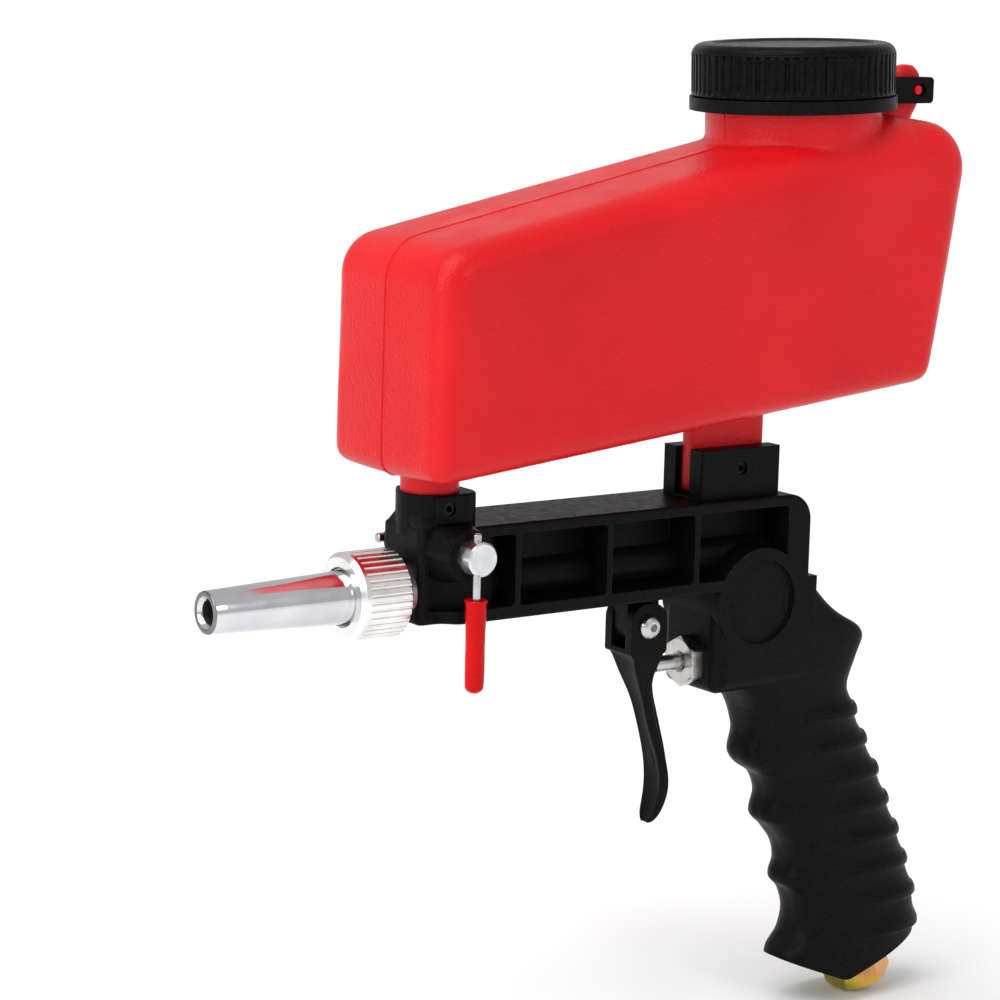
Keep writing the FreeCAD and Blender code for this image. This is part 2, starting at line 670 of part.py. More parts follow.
def lever_rod():
    """Bright steel rod through the shaft that the fingers turn."""
    rod = cylinder(ROD_R, V(VALVE_X, ROD_Y, ROD_BOTTOM_Z), V(VALVE_X, ROD_Y, ROD_TOP_Z))
    return rod.makeFillet(0.5, [rod.Edges[0], rod.Edges[2]])


def lever_sleeve():
    """Soft vinyl sleeve over the rod, flared at its mouth and round at its tip."""
    tip_z = SLEEVE_BOTTOM_Z + SLEEVE_R * 0.8
    sleeve = cylinder(SLEEVE_R, V(VALVE_X, ROD_Y, tip_z), V(VALVE_X, ROD_Y, SLEEVE_TOP_Z - 2))
    flare = cone(SLEEVE_R, SLEEVE_R + 0.45, V(VALVE_X, ROD_Y, SLEEVE_TOP_Z - 2),
                 V(VALVE_X, ROD_Y, SLEEVE_TOP_Z))
    tip = cone(SLEEVE_R * 0.45, SLEEVE_R, V(VALVE_X, ROD_Y, SLEEVE_BOTTOM_Z),
               V(VALVE_X, ROD_Y, tip_z))
    bore = cylinder(ROD_R, V(VALVE_X, ROD_Y, ROD_BOTTOM_Z), V(VALVE_X, ROD_Y, SLEEVE_TOP_Z + 2))
    return fused(sleeve, flare, tip).cut(bore)


def retaining_pin():
    """Cross pin that keeps the shaft from sliding out on its far side."""
    start = V(VALVE_X - PIN_HALF_LENGTH, PIN_Y, VALVE_Z)
    end = V(VALVE_X + PIN_HALF_LENGTH, PIN_Y, VALVE_Z)
    pin = cylinder(PIN_R, start, end)
    return pin.makeFillet(0.6, [pin.Edges[0], pin.Edges[2]])


# ---------------------------------------------------------------- trigger and air valve

TRIGGER_STATIONS = [
    # height, front x, thickness, half width
    (-27.0, 145.6, 12.6, 6.6), (-32.0, 148.3, 8.4, 5.8), (-37.0, 150.4, 5.4, 4.9),
    (-42.0, 152.6, 3.9, 4.2), (-50.0, 155.2, 3.4, 3.7), (-58.0, 157.8, 3.3, 4.1),
    (-65.0, 159.6, 3.3, 4.7), (-72.0, 160.0, 3.3, 4.9), (-77.0, 159.0, 3.1, 4.4),
    (-81.0, 157.7, 2.6, 3.2), (-82.6, 157.4, 1.8, 1.8)]


def trigger_slice(z, front, thick, half):
    """One level slice of the trigger's blade: rounded corners, slightly dished front."""
    corner = min(1.1, thick * 0.32, half * 0.4)
    nook = corner * (1 - math.sqrt(0.5))
    rear = front + thick
    edges = [Part.Arc(V(front, half - corner, z), V(front + BLADE_DISH, 0, z),
                      V(front, corner - half, z)).toShape(),
             Part.Arc(V(front, corner - half, z), V(front + nook, nook - half, z),
                      V(front + corner, -half, z)).toShape(),
             Part.makeLine(V(front + corner, -half, z), V(rear - corner, -half, z)),
             Part.Arc(V(rear - corner, -half, z), V(rear - nook, nook - half, z),
                      V(rear, corner - half, z)).toShape(),
             Part.makeLine(V(rear, corner - half, z), V(rear, half - corner, z)),
             Part.Arc(V(rear, half - corner, z), V(rear - nook, half - nook, z),
                      V(rear - corner, half, z)).toShape(),
             Part.makeLine(V(rear - corner, half, z), V(front + corner, half, z)),
             Part.Arc(V(front + corner, half, z), V(front + nook, half - nook, z),
                      V(front, half - corner, z)).toShape()]
    return Part.Wire(edges)


def trigger():
    """Moulded trigger: a fork over the pivot tongue and a curved finger blade."""
    head = side_slab([
        (HEAD_FRONT_X, HEAD_BOTTOM_Z, 1.0), (HEAD_FRONT_X, PIVOT_Z + HEAD_TOP_R, 5.5),
        (HEAD_REAR_X, PIVOT_Z + HEAD_TOP_R, 6.0), (HEAD_REAR_X, HEAD_BOTTOM_Z, 1.5)], HEAD_HALF)
    slot_floor = PIVOT_Z - TONGUE_TIP_R - 0.9
    slot = block(140, 170, -HEAD_SLOT_HALF, HEAD_SLOT_HALF, slot_floor, 0)
    blade = Part.makeLoft([trigger_slice(*station) for station in TRIGGER_STATIONS], True, False)
    rib = side_slab([
        (149.5, -27.0, 0), (158.7, -27.0, 0), (157.0, -33.0, 8.0), (158.3, -42.0, 20.0),
        (163.0, -58.0, 30.0), (165.2, -67.5, 6.0), (162.6, -76.5, 0.5), (160.6, -68.0, 0),
        (154.5, -44.0, 0)], 1.5)
    pivot = cylinder(PIVOT_R, V(PIVOT_X, -20, PIVOT_Z), V(PIVOT_X, 20, PIVOT_Z))
    return fused(head, blade, rib).cut(slot).cut(pivot)


def pivot_screw():
    """Button-head socket screw through the trigger's fork and the tongue."""
    head_y = -HEAD_HALF
    shank = cylinder(PIVOT_R, V(PIVOT_X, head_y - 0.5, PIVOT_Z), V(PIVOT_X, HEAD_HALF + 3.4, PIVOT_Z))
    head = turned([
        (0, 0), (0, 3.8), (0.7, 3.72), (1.5, 3.2), (2.0, 2.5), (2.2, 1.8), (2.2, 0)],
        V(PIVOT_X, head_y, PIVOT_Z), V(0, -1, 0))
    socket = hexagon(2.5, V(PIVOT_X, head_y - 3, PIVOT_Z), V(PIVOT_X, head_y - 0.5, PIVOT_Z), Z_AXIS)
    return fused(shank, head).cut(socket)


def pivot_nut():
    """Plain hexagon nut on the pivot screw's far end."""
    nut = hexagon(7.0, V(PIVOT_X, HEAD_HALF, PIVOT_Z), V(PIVOT_X, HEAD_HALF + 3.0, PIVOT_Z), X_AXIS)
    chamfer = turned([
        (-0.1, 0), (-0.1, 3.6), (0.3, 4.1), (2.5, 4.1), (3.1, 3.4), (3.1, 0)],
        V(PIVOT_X, HEAD_HALF, PIVOT_Z), Y_AXIS)
    bore = cylinder(PIVOT_R, V(PIVOT_X, 0, PIVOT_Z), V(PIVOT_X, 20, PIVOT_Z))
    return nut.common(chamfer).cut(bore)


def gland_nut():
    """Zinc-plated hexagon gland that closes the air valve and guides its pin."""
    rear = GLAND_FRONT_X + 4.0
    head = hexagon(GLAND_HEX_AF, V(GLAND_FRONT_X, 0, AIR_Z), V(rear, 0, AIR_Z), Y_AXIS)
    corner = GLAND_HEX_AF / math.sqrt(3)
    chamfer = turned([
        (0, 0), (0, corner - 1.2), (0.7, corner + 0.1), (4.1, corner + 0.1), (4.1, 0)],
        V(GLAND_FRONT_X, 0, AIR_Z), X_AXIS)
    shank = cylinder(GLAND_THREAD_R, V(rear - 0.5, 0, AIR_Z), V(180.4, 0, AIR_Z))
    bore = cylinder(STEM_R + FIT, V(160, 0, AIR_Z), V(190, 0, AIR_Z))
    pocket = cylinder(4.2, V(177.4, 0, AIR_Z), V(190, 0, AIR_Z))
    mouth = cone(STEM_R + 1.0, STEM_R + FIT, V(GLAND_FRONT_X - 0.01, 0, AIR_Z),
                 V(GLAND_FRONT_X + 0.8, 0, AIR_Z))
    return fused(head.common(chamfer), shank).cut(bore).cut(pocket).cut(mouth)


def gland_seal():
    """Rubber packing ring round the valve pin."""
    return tube(4.1, STEM_R + FIT, V(177.5, 0, AIR_Z), V(180.2, 0, AIR_Z))


def valve_pin():
    """Steel pin that the trigger pushes, with the poppet turned on its inner end."""
    return turned([
        (STEM_TIP_X, 0), (STEM_TIP_X, 1.7), (STEM_TIP_X + 0.8, STEM_R), (185.0, STEM_R),
        (185.0, 1.6), (POPPET_X + 1.4, 1.6), (POPPET_X + 1.4, 4.4), (POPPET_X + 3.8, 4.4),
        (POPPET_X + 3.8, 2.4), (POPPET_X + 6.0, 2.4), (POPPET_X + 6.0, 0)],
        V(0, 0, AIR_Z), X_AXIS)


def poppet_seal():
    """Rubber face of the poppet that shuts on the seat."""
    return tube(4.4, 1.6, V(POPPET_X, 0, AIR_Z), V(POPPET_X + 1.4, 0, AIR_Z))


def valve_seat():
    """Brass seat pressed across the air chamber."""
    return tube(AIR_CHAMBER_R, 3.3, V(SEAT_X, 0, AIR_Z), V(SEAT_X + SEAT_LENGTH, 0, AIR_Z))


def valve_spring():
    """Compression spring that shuts the poppet and returns the trigger."""
    wire_r = 0.45
    coil_r = 3.6
    length = AIR_CHAMBER_END_X - SPRING_FRONT_X - 2 * wire_r - 0.1
    helix = Part.makeHelix(length / 6, length, coil_r)
    start = V(coil_r, 0, 0)
    ring = Part.Wire(Part.makeCircle(wire_r, start, V(0, 1, length / 6 / (2 * math.pi * coil_r))))
    coil = Part.Wire(helix.Edges).makePipeShell([ring], True, True)
    coil = Part.Solid(coil) if coil.ShapeType == "Shell" else coil
    coil.rotate(V(0, 0, 0), Y_AXIS, 90)
    coil.translate(V(SPRING_FRONT_X + wire_r, 0, AIR_Z))
    return coil


# ---------------------------------------------------------------- air inlet

def inlet_fitting():
    """Plated steel hexagon fitting with the female air thread."""
    down = inlet_axis()
    base = inlet_base()
    side = down.cross(Y_AXIS)
    foot = base + down * INLET_HEX_LENGTH
    hexagonal = hexagon(INLET_HEX_AF, base, foot, side)
    corner = INLET_HEX_AF / math.sqrt(3)
    chamfer = turned([
        (0, 0), (0, corner + 0.1), (INLET_HEX_LENGTH - 0.9, corner + 0.1),
        (INLET_HEX_LENGTH, corner - 1.5), (INLET_HEX_LENGTH, 0)], base, down)
    shank = cylinder(INLET_SHANK_R, base - down * INLET_SHANK_LENGTH, base + down * 0.5)
    thread = cylinder(INLET_THREAD_R, base - down * 3.0, foot + down)
    through = cylinder(3.6, base - down * 20, foot)
    return fused(hexagonal.common(chamfer), shank).cut(thread).cut(through)


# ---------------------------------------------------------------- hopper and cap

def hopper_outline(inset):
    """Side outline of the hopper, drawn in by a wall thickness."""
    i = inset
    return [
        (57.8 + i, 34.2 + i, 4.0), (58.4 + i, 100.6 - i, 13.0 - i),
        (230.0, 137.0 - i, 24.0 - i), (257.6 - i, 132.4 - i, 15.0 - i),
        (243.6 - i, 54.3 + i, 6.0 - i / 2)]


def hopper_shell():
    """Hollow blow-moulded bin with rounded edges."""
    outer = side_slab(hopper_outline(0), HOPPER_HALF)
    outer = outer.makeFillet(HOPPER_EDGE_R, side_rim(outer, HOPPER_HALF))
    half = HOPPER_HALF - HOPPER_WALL
    inner = side_slab(hopper_outline(HOPPER_WALL), half)
    inner = inner.makeFillet(HOPPER_EDGE_R - HOPPER_WALL, side_rim(inner, half))
    return outer, inner


def side_rim(solid, half):
    """Edges of the two flat sides of a slab."""
    return [edge for edge in solid.Edges
            if edge.BoundBox.YLength < 1e-3 and abs(abs(edge.BoundBox.YMin) - half) < 1e-3]


def on_neck(shape):
    """Place a shape drawn upright at the origin onto the leaning neck."""
    shape.rotate(V(0, 0, 0), Y_AXIS, NECK_TILT)
    shape.translate(V(NECK_X, 0, NECK_Z))
    return shape


def hopper():
    """Red hopper: bin, filler neck, spigot, tongue and hinge lug."""
    outer, inner = hopper_shell()
    neck = on_neck(fused(
        cylinder(NECK_R, V(0, 0, -16), V(0, 0, RING_HIGH)),
        cylinder(NECK_THREAD_R, V(0, 0, 0), V(0, 0, NECK_TOP))))
    neck_bore = on_neck(cylinder(NECK_BORE_R, V(0, 0, -30), V(0, 0, NECK_TOP + 1)))
    spigot = cylinder(SPIGOT_R, V(SPIGOT_X, 0, COLLAR_FLOOR_Z + 0.2), V(SPIGOT_X, 0, 40))
    spigot_bore = cylinder(SPIGOT_R - SPIGOT_WALL, V(SPIGOT_X, 0, 10), V(SPIGOT_X, 0, 45))
    spigot_screw = cylinder(LOCK_SCREW_R, V(SPIGOT_X, -20, COLLAR_SCREW_Z),
                            V(SPIGOT_X, -5, COLLAR_SCREW_Z))
    tongue = block(169.2, 197.4, -TONGUE_HALF, TONGUE_HALF, BODY_TOP_Z + 1.2, 52)
    tongue_screw = cylinder(LOCK_SCREW_R, V(BRACKET_SCREW_X, -20, BRACKET_SCREW_Z),
                            V(BRACKET_SCREW_X, 20, BRACKET_SCREW_Z))
    solid = outer.multiFuse([neck, spigot, tongue, hinge_lug()])
    solid = solid.cut(inner.fuse(neck_bore)).cut(spigot_bore)
    return solid.cut(spigot_screw).cut(tongue_screw)


def hinge_lug():
    """Upright lug behind the neck that holds the ring's hinge pin."""
    lug = side_slab([
        (236.0, 128.0, 0), (HINGE_X - 4.6, 150.4, 4.0), (HINGE_X + 4.2, 150.4, 4.0),
        (HINGE_X + 5.0, 138.6, 2.0), (HINGE_X - 2.0, 128.0, 0)], 2.6)
    keep = on_neck(cylinder(RING_R + 0.4, V(0, 0, RING_LOW - 0.4), V(0, 0, 60)))
    hole = cylinder(HINGE_PIN_R, V(HINGE_X, -10, HINGE_Z), V(HINGE_X, 10, HINGE_Z))
    return lug.cut(keep).cut(hole)


def cap():
    """Black screw cap with upright grip ribs and a rounded top edge."""
    outside = Part.makeCylinder(CAP_R, CAP_TOP - CAP_LOW, V(0, 0, CAP_LOW))
    top_edge = [edge for edge in outside.Edges
                if edge.BoundBox.ZMin > CAP_TOP - 0.01 and edge.BoundBox.XLength > 10]
    outside = outside.makeFillet(3.6, top_edge)
    grooves = []
    for step in range(CAP_RIBS):
        angle = 2 * math.pi * step / CAP_RIBS
        x = (CAP_R + 0.35) * math.cos(angle)
        y = (CAP_R + 0.35) * math.sin(angle)
        grooves.append(cylinder(0.9, V(x, y, CAP_LOW + 1.6), V(x, y, CAP_TOP - 4.2)))
    inside = cylinder(NECK_THREAD_R + FIT, V(0, 0, 0), V(0, 0, CAP_ROOF))
    return on_neck(outside.cut(Part.makeCompound(grooves)).cut(inside))


def cap_gasket():
    """Foam disc under the cap's roof that seals the neck's rim."""
    disc = cylinder(NECK_THREAD_R - 0.3, V(0, 0, NECK_TOP), V(0, 0, CAP_ROOF))
    return on_neck(disc)


def cap_ring():
    """Flat tether ring round the neck with a slotted fork on the hinge pin."""
    ring = tube(RING_R, RING_BORE_R, V(0, 0, RING_LOW), V(0, 0, RING_HIGH))
    ring = on_neck(ring)
    arms = []
    for side in (-1, 1):
        y0, y1 = sorted((side * 2.9, side * 6.6))
        arm = block(236.5, HINGE_X + 6.6, y0, y1, HINGE_Z - 4.2, HINGE_Z + 4.0)
        arm = arm.makeFillet(1.4, [edge for edge in arm.Edges if edge.BoundBox.YLength > 3
                                   and edge.BoundBox.XMin > HINGE_X])
        arms.append(arm)
    keep = on_neck(cylinder(CAP_R + 0.6, V(0, 0, RING_HIGH), V(0, 0, 60)))
    neck = on_neck(cylinder(RING_BORE_R, V(0, 0, -10), V(0, 0, 60)))
    slot = side_slab([
        (HINGE_X - 2.2, HINGE_Z - 1.9, 1.8), (HINGE_X + 3.4, HINGE_Z - 1.9, 1.8),
        (HINGE_X + 3.4, HINGE_Z + 1.9, 1.8), (HINGE_X - 2.2, HINGE_Z + 1.9, 1.8)], 10)
    fork = fused(ring, arms[0].cut(keep), arms[1].cut(keep))
    return fork.cut(neck).cut(slot)


def hinge_pin():
    """Pin through the lug and the ring's fork."""
    return cylinder(HINGE_PIN_R, V(HINGE_X, -6.8, HINGE_Z), V(HINGE_X, 6.8, HINGE_Z))


def lock_screw(x, z, near_y, far_y):
    """Socket grub screw across the body, from its near end to its far end."""
    screw = cylinder(LOCK_SCREW_R, V(x, near_y, z), V(x, far_y, z))
    socket = hexagon(2.0, V(x, near_y - 1, z), V(x, near_y + 1.8, z), Z_AXIS)
    return screw.cut(socket)


# ---------------------------------------------------------------- build

def main():
    os.makedirs("parts", exist_ok=True)
    save("nozzle", nozzle())
    save("nozzle_seal", nozzle_seal())
    save("nozzle_nut", nozzle_nut())
    save("nozzle_holder", nozzle_holder())
    save("air_jet", air_jet())
    save("pistol_body", pistol_body())
    save("flow_shaft", flow_shaft())
    save("shaft_seals", *shaft_seals())
    save("lever_rod", lever_rod())
    save("lever_sleeve", lever_sleeve())
    save("retaining_pin", retaining_pin())
    save("trigger", trigger())
    save("pivot_screw", pivot_screw())
    save("pivot_nut", pivot_nut())
    save("gland_nut", gland_nut())
    save("gland_seal", gland_seal())
    save("valve_pin", valve_pin())
    save("poppet_seal", poppet_seal())
    save("valve_seat", valve_seat())
    save("valve_spring", valve_spring())
    save("inlet_fitting", inlet_fitting())
    save("hopper", hopper())
    save("cap", cap())
    save("cap_gasket", cap_gasket())
    save("cap_ring", cap_ring())
    save("hinge_pin", hinge_pin())
    save("collar_screw", lock_screw(SPIGOT_X, COLLAR_SCREW_Z, -10.3, -6.3))
    save("bracket_screw", lock_screw(BRACKET_SCREW_X, BRACKET_SCREW_Z, -8.9, 6.0))


main()
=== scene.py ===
"""Looks of a gravity-feed abrasive blasting gun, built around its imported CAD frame.

The row frame: the origin is the nozzle's outlet, +X runs back along the barrel,
+Y is the side away from the flow lever and +Z is up.  Shapes below are worked out
in millimetres and turned into metres when a mesh is made.
"""
import bpy
import bmesh
import math
from mathutils import Matrix, Vector

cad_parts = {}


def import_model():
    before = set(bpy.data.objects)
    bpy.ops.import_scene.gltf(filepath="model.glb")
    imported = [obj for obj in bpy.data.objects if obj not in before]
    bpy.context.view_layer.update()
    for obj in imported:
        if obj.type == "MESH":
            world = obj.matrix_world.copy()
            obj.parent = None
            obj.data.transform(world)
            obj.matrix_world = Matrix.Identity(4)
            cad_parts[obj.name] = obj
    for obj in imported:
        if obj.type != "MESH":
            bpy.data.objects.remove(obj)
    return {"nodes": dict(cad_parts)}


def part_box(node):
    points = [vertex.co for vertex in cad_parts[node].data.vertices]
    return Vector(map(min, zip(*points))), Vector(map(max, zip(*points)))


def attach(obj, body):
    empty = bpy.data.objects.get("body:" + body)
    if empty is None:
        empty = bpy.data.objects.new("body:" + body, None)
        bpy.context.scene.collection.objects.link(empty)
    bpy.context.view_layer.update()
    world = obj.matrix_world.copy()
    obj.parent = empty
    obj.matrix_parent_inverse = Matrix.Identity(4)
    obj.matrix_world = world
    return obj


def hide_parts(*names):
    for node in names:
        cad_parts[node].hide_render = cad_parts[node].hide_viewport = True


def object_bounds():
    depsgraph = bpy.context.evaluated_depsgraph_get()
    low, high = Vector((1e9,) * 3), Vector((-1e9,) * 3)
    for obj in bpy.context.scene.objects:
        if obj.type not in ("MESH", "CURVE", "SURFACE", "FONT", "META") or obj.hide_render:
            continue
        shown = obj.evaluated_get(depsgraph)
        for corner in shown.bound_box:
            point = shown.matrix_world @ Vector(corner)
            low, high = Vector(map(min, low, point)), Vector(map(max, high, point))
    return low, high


MM = 0.001

# ---------------------------------------------------------------- driving dimensions

HOPPER_HALF = 30.5
HOPPER_CROWN = 0.5
HOPPER_DISH = 0.7
HOPPER_VOXEL = 0.9
# the sides draw in by this much from the height where the draft starts down to the floor
HOPPER_DRAFT = 1.6
DRAFT_TOP_Z = 100.0
DRAFT_BOTTOM_Z = 34.0
# side outline: x, z, corner radius, radius of the rounded side edge there
HOPPER_OUTLINE = [
    (57.8, 34.2, 5.0, 6.0),
    (58.4, 100.6, 13.0, 8.5),
    (230.0, 137.0, 24.0, 14.0),
    (257.6, 132.4, 15.0, 9.0),
    (243.6, 54.3, 6.0, 6.5)]
SPIGOT_X = 74.5
SPIGOT_R = 8.65
SPIGOT_LOW_Z = 21.3
SPIGOT_HIGH_Z = 42.0
TONGUE_HALF = 3.4
TONGUE_FRONT_X = 169.3
TONGUE_REAR_X = 197.3
TONGUE_LOW_Z = 20.9
TONGUE_HIGH_Z = 58.0
HINGE_X = 251.9
NECK_X = 206.7
NECK_Z = 130.0
NECK_TILT = math.radians(-2.2)
NECK_R = 27.1
NECK_THREAD_R = 26.5
NECK_BORE_R = 24.2
CAP_R = 31.4
CAP_BORE_R = 26.7
CAP_LOW = 12.2
CAP_TOP = 28.2
CAP_ROOF = 25.7
CAP_RIBS = 66
VALVE_X = 76.2
ROD_Y = -22.6
ROD_R = 1.27
SLEEVE_R = 3.0
SLEEVE_TOP_Z = 0.3
SLEEVE_BOTTOM_Z = -27.2
NOZZLE_BORE_R = 3.3
COUNTERSINK_R = 4.6
MOUTH_FACE_DEPTH = 0.4
RIDGE_COUNT = 8
RIDGE_TOP_Z = -54.0
RIDGE_PITCH = 10.75
# a ridge bar's section: height above the crest, distance out from the crest
RIDGE_SECTION = [
    (2.4, -0.7), (1.4, -0.1), (0.4, 0.25), (-0.7, 0.3), (-1.1, 0.05), (-1.2, -1.5), (2.0, -1.5)]
RIDGE_END_SINK = 0.9
RIDGE_END_STEPS = 7
# where the grip's middle is at the top ridge, and how far back it leans per unit of drop
GRIP_MIDDLE_X = 208.0
GRIP_LEAN = 0.42

CAMERA_PLACE = (-420.14, -737.73, 182.98)
CAMERA_FORWARD = (0.5672, 0.8051, -0.1736)
CAMERA_UP = (0.0795, 0.1563, 0.9845)
CAMERA_LENS = 111.74


# ---------------------------------------------------------------- mesh helpers

def mesh_object(name, bm):
    """A smooth-shaded object from a bmesh in millimetres."""
    bmesh.ops.remove_doubles(bm, verts=bm.verts, dist=0.004)
    bmesh.ops.recalc_face_normals(bm, faces=bm.faces)
    bmesh.ops.scale(bm, vec=(MM, MM, MM), verts=bm.verts)
    mesh = bpy.data.meshes.new(name)
    bm.to_mesh(mesh)
    bm.free()
    for face in mesh.polygons:
        face.use_smooth = True
    piece = bpy.data.objects.new(name, mesh)
    bpy.context.scene.collection.objects.link(piece)
    return piece


def grid_faces(bm, rows, closed_rows):
    """Quads between neighbouring rows of vertices, each row a closed ring."""
    count = len(rows)
    last = count if closed_rows else count - 1
    for index in range(last):
        first = rows[index]
        second = rows[(index + 1) % count]
        size = len(first)
        for step in range(size):
            ahead = (step + 1) % size
            bm.faces.new((first[step], first[ahead], second[ahead], second[step]))


def lathe(bm, profile, place, columns, swell=None):
    """A ring-shaped or solid turned form from (radius, along) points about a placed Z axis."""
    rows = []
    for radius, along in profile:
        row = []
        for step in range(columns):
            angle = 2 * math.pi * step / columns
            r = max(radius, 0.002)
            if swell is not None:
                r += swell(angle, radius, along)
            point = Vector((r * math.cos(angle), r * math.sin(angle), along))
            row.append(bm.verts.new(place @ point))
        rows.append(row)
    grid_faces(bm, rows, True)


def box_form(bm, low, high, edge):
    """A block with bevelled edges."""
    made = bmesh.ops.create_cube(bm, size=1.0)["verts"]
    size = [b - a for a, b in zip(low, high)]
    middle = [(a + b) / 2 for a, b in zip(low, high)]
    bmesh.ops.scale(bm, vec=size, verts=made)
    bmesh.ops.translate(bm, vec=middle, verts=made)
    edges = list({e for v in made for e in v.link_edges})
    bmesh.ops.bevel(bm, geom=edges, offset=edge, segments=2, affect="EDGES", profile=0.5)


def arc_points(centre_r, centre_z, radius, start, end, steps):
    """Points of an arc in a turned profile, angles in degrees."""
    points = []
    for step in range(steps + 1):
        angle = math.radians(start + (end - start) * step / steps)
        points.append((centre_r + radius * math.cos(angle), centre_z + radius * math.sin(angle)))
    return points


def along_x(x):
    """Placement that turns a lathe's axis onto +X, starting at x."""
    return Matrix.Translation((x, 0, 0)) @ Matrix.Rotation(math.pi / 2, 4, "Y")


def neck_place():
    """Placement of the leaning filler neck."""
    return Matrix.Translation((NECK_X, 0, NECK_Z)) @ Matrix.Rotation(NECK_TILT, 4, "Y")


def apply_modifiers(piece):
    """Bake a piece's modifiers into its mesh."""
    bpy.context.view_layer.update()
    graph = bpy.context.evaluated_depsgraph_get()
    mesh = bpy.data.meshes.new_from_object(piece.evaluated_get(graph))
    piece.modifiers.clear()
    piece.data = mesh


# ---------------------------------------------------------------- material helpers

class Surface:
    """A node material: a principled shader with a chain of bumps in front of its normal."""

    def __init__(self, name, color, rough, metallic=0.0):
        self.material = bpy.data.materials.new(name)
        self.material.use_nodes = True
        self.tree = self.material.node_tree
        self.shader = self.tree.nodes["Principled BSDF"]
        self.shader.inputs["Metallic"].default_value = metallic
        self.shader.inputs["Base Color"].default_value = (*color, 1)
        self.shader.inputs["Roughness"].default_value = rough
        self.place = self.tree.nodes.new("ShaderNodeTexCoord").outputs["Object"]
        self.normal = None

    def noise(self, scale, detail=2.0, stretch=(1, 1, 1)):
        """Noise in object space, in features per metre."""
        mapping = self.tree.nodes.new("ShaderNodeMapping")
        mapping.inputs["Scale"].default_value = stretch
        self.tree.links.new(self.place, mapping.inputs["Vector"])
        node = self.tree.nodes.new("ShaderNodeTexNoise")
        node.inputs["Scale"].default_value = scale
        node.inputs["Detail"].default_value = detail
        self.tree.links.new(mapping.outputs["Vector"], node.inputs["Vector"])
        return node.outputs["Fac"]

    def spread(self, value, from_low, from_high, to_low, to_high):
        """A clamped change of range."""
        node = self.tree.nodes.new("ShaderNodeMapRange")
        node.inputs["From Min"].default_value = from_low
        node.inputs["From Max"].default_value = from_high
        node.inputs["To Min"].default_value = to_low
        node.inputs["To Max"].default_value = to_high
        self.tree.links.new(value, node.inputs["Value"])
        return node.outputs["Result"]

    def colors(self, value, stops):
        """Base colour from a ramp over a value."""
        ramp = self.tree.nodes.new("ShaderNodeValToRGB")
        while len(ramp.color_ramp.elements) < len(stops):
            ramp.color_ramp.elements.new(0.5)
        for element, (position, color) in zip(ramp.color_ramp.elements, stops):
            element.position = position
            element.color = (*color, 1)
        self.tree.links.new(value, ramp.inputs["Fac"])
        self.tree.links.new(ramp.outputs["Color"], self.shader.inputs["Base Color"])

    def roughness(self, value, low, high):
        """Roughness that varies with a noise value."""
        result = self.spread(value, 0.3, 0.7, low, high)
        self.tree.links.new(result, self.shader.inputs["Roughness"])

    def bump(self, height, depth_mm, strength=1.0):
        """Add a bump of a given depth to the normal."""
        node = self.tree.nodes.new("ShaderNodeBump")
        node.inputs["Strength"].default_value = strength
        node.inputs["Distance"].default_value = depth_mm * MM
        self.tree.links.new(height, node.inputs["Height"])
        if self.normal is not None:
            self.tree.links.new(self.normal, node.inputs["Normal"])
        self.normal = node.outputs["Normal"]
        self.tree.links.new(self.normal, self.shader.inputs["Normal"])

    def soft_edges(self, radius_mm):
        """Round the look of sharp edges, before any bump."""
        node = self.tree.nodes.new("ShaderNodeBevel")
        node.samples = 6
        node.inputs["Radius"].default_value = radius_mm * MM
        self.normal = node.outputs["Normal"]
        self.tree.links.new(self.normal, self.shader.inputs["Normal"])


# ---------------------------------------------------------------- materials

def red_polyethylene():
    finish = Surface("red_polyethylene", (0.60, 0.006, 0.010), 0.36)
    finish.shader.inputs["Specular IOR Level"].default_value = 0.20
    finish.colors(finish.noise(26, 3), [(0.30, (0.55, 0.004, 0.008)), (0.70, (0.65, 0.008, 0.012))])
    finish.roughness(finish.noise(70, 4), 0.28, 0.42)
    finish.bump(finish.noise(1000, 2), 0.20, 1.0)
    finish.bump(finish.noise(45, 2), 0.25, 0.25)
    return finish.material


def black_nylon():
    finish = Surface("black_nylon", (0.004, 0.004, 0.005), 0.40)
    finish.shader.inputs["Specular IOR Level"].default_value = 0.06
    finish.soft_edges(0.45)
    finish.colors(finish.noise(900, 3), [(0.35, (0.003, 0.003, 0.0035)), (0.75, (0.006, 0.006, 0.007))])
    finish.roughness(finish.noise(420, 3), 0.32, 0.46)
    finish.bump(finish.noise(1500, 2), 0.05, 0.45)
    return finish.material


def black_cap_plastic():
    finish = Surface("black_cap_plastic", (0.004, 0.004, 0.005), 0.30)
    finish.shader.inputs["Specular IOR Level"].default_value = 0.05
    finish.colors(finish.noise(500, 3), [(0.35, (0.003, 0.003, 0.0035)), (0.7, (0.006, 0.006, 0.007))])
    finish.roughness(finish.noise(260, 3), 0.22, 0.36)
    finish.bump(finish.noise(900, 2), 0.04, 0.35)
    return finish.material


def bright_plate():
    finish = Surface("bright_plate", (0.62, 0.62, 0.65), 0.10, 1.0)
    finish.colors(finish.noise(60, 2), [(0.3, (0.56, 0.56, 0.59)), (0.7, (0.68, 0.68, 0.71))])
    finish.roughness(finish.noise(200, 3), 0.07, 0.17)
    finish.bump(finish.noise(240, 2, (0.2, 1, 1)), 0.02, 0.30)
    return finish.material


def nozzle_mouth():
    return satin_metal("nozzle_mouth", (0.13, 0.13, 0.14), (0.26, 0.26, 0.27), 0.28, 0.42)


# Painted shade: the bore of the plated nozzle is coloured near-black to stand for the shade inside the
# hole.
def painted_shade_bore():
    return satin_metal("painted_shade_bore", (0.02, 0.02, 0.02), (0.07, 0.065, 0.06), 0.5, 0.7)


